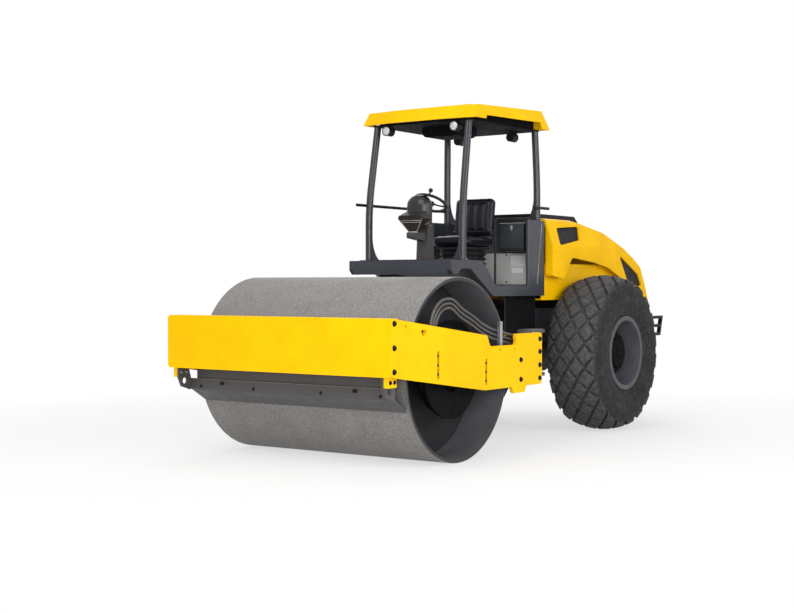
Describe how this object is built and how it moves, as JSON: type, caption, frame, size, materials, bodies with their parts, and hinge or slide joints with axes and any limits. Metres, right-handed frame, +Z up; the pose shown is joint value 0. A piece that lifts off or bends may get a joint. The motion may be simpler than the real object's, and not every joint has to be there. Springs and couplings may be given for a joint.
{
  "type": "single drum soil roller",
  "caption": "Articulated road roller with a smooth vibrating front drum in a frame, rear drive tyres with block tread, engine hood and an open operator station under a post roof.",
  "frame": {"origin": "centre of the bounding box's base, on the ground", "axes": "+X forward from the tyres to the drum, +Y to the machine's left, +Z up"},
  "size_m": [5.78, 2.3, 3.115],
  "materials": {
    "yellow_paint": "gloss",
    "dark_paint": "satin",
    "black_paint": "satin",
    "worn_steel": "worn",
    "grey_steel": "satin",
    "chromed_steel": "polished",
    "cast_iron": "rough",
    "tyre_rubber": "matte",
    "rubber": "matte",
    "black_plastic": "matte",
    "vinyl": "glossy"
  },
  "bodies": {
    "rear_frame": {"steering_barrels": "dark_paint", "chassis": "dark_paint", "counterweight": "cast_iron", "tail_guards": "black_paint", "rear_axle": "cast_iron", "platform": "dark_paint", "bulkhead": "dark_paint", "entry_steps": "grey_steel", "roof_posts": "dark_paint", "roof_shell": "yellow_paint", "roof_frame": "black_paint", "roof_lamps": "black_paint", "hand_rails": "black_paint", "console": "dark_paint", "dashboard": "black_plastic", "steering_wheel": "black_plastic", "seat_base": "black_plastic", "seat_cushion": "vinyl", "seat_backrest": "vinyl", "side_box": "dark_paint", "engine": "black_paint", "engine_panels": "yellow_paint"},
    "drum": {"drum_shell": "worn_steel", "drum_discs": "dark_paint", "drum_exciter": "dark_paint"},
    "front_frame": {"front_beam": "yellow_paint", "side_plate_left": "yellow_paint", "side_plate_right": "yellow_paint", "rear_crossmember": "yellow_paint", "scraper": "black_paint", "drum_carriers": "black_paint", "drum_buffers": "rubber", "drum_motors": "black_paint", "drum_hoses": "rubber", "hose_clamp": "grey_steel"},
    "articulation": {"pivot_yoke": "dark_paint"},
    "steering_rod_left": {"steering_rod_left": "chromed_steel"},
    "steering_rod_right": {"steering_rod_right": "chromed_steel"},
    "wheel_left": {"tyre_left": "tyre_rubber", "rim_left": "dark_paint"},
    "wheel_right": {"tyre_right": "tyre_rubber", "rim_right": "dark_paint"},
    "hood": {"hood_shell": "yellow_paint", "hood_trim": "black_paint"}
  },
  "joints": [
    {"name": "steering_articulation", "type": "hinge", "parent": "rear_frame", "child": "articulation", "pos_m": [0.333, 0, 0.79], "axis": [0, 0, 1], "range_deg": [-35, 35]},
    {"name": "frame_oscillation", "type": "hinge", "parent": "articulation", "child": "front_frame", "pos_m": [0.635, 0, 0.79], "axis": [1, 0, 0], "range_deg": [-12, 12]},
    {"name": "drum_spin", "type": "hinge", "parent": "front_frame", "child": "drum", "pos_m": [1.84, 0, 0.75], "axis": [0, 1, 0], "continuous": true},
    {"name": "wheel_left_spin", "type": "hinge", "parent": "rear_frame", "child": "wheel_left", "pos_m": [-1.17, 0.8325, 0.765], "axis": [0, 1, 0], "continuous": true},
    {"name": "wheel_right_spin", "type": "hinge", "parent": "rear_frame", "child": "wheel_right", "pos_m": [-1.17, -0.8325, 0.765], "axis": [0, 1, 0], "continuous": true},
    {"name": "hood_hinge", "type": "hinge", "parent": "rear_frame", "child": "hood", "pos_m": [-2.715, 0, 1.142], "axis": [0, -1, 0], "range_deg": [0, 55]},
    {"name": "steering_rod_left_slide", "type": "slide", "parent": "rear_frame", "child": "steering_rod_left", "axis": [1, 0, 0], "range_m": [-0.138, 0.138]},
    {"name": "steering_rod_right_slide", "type": "slide", "parent": "rear_frame", "child": "steering_rod_right", "axis": [1, 0, 0], "range_m": [-0.138, 0.138]}
  ],
  "couplings": [
    {"joint": "steering_rod_left_slide", "follows": "steering_articulation", "m_per_rad": -0.2253},
    {"joint": "steering_rod_right_slide", "follows": "steering_articulation", "m_per_rad": 0.2253}
  ]
}
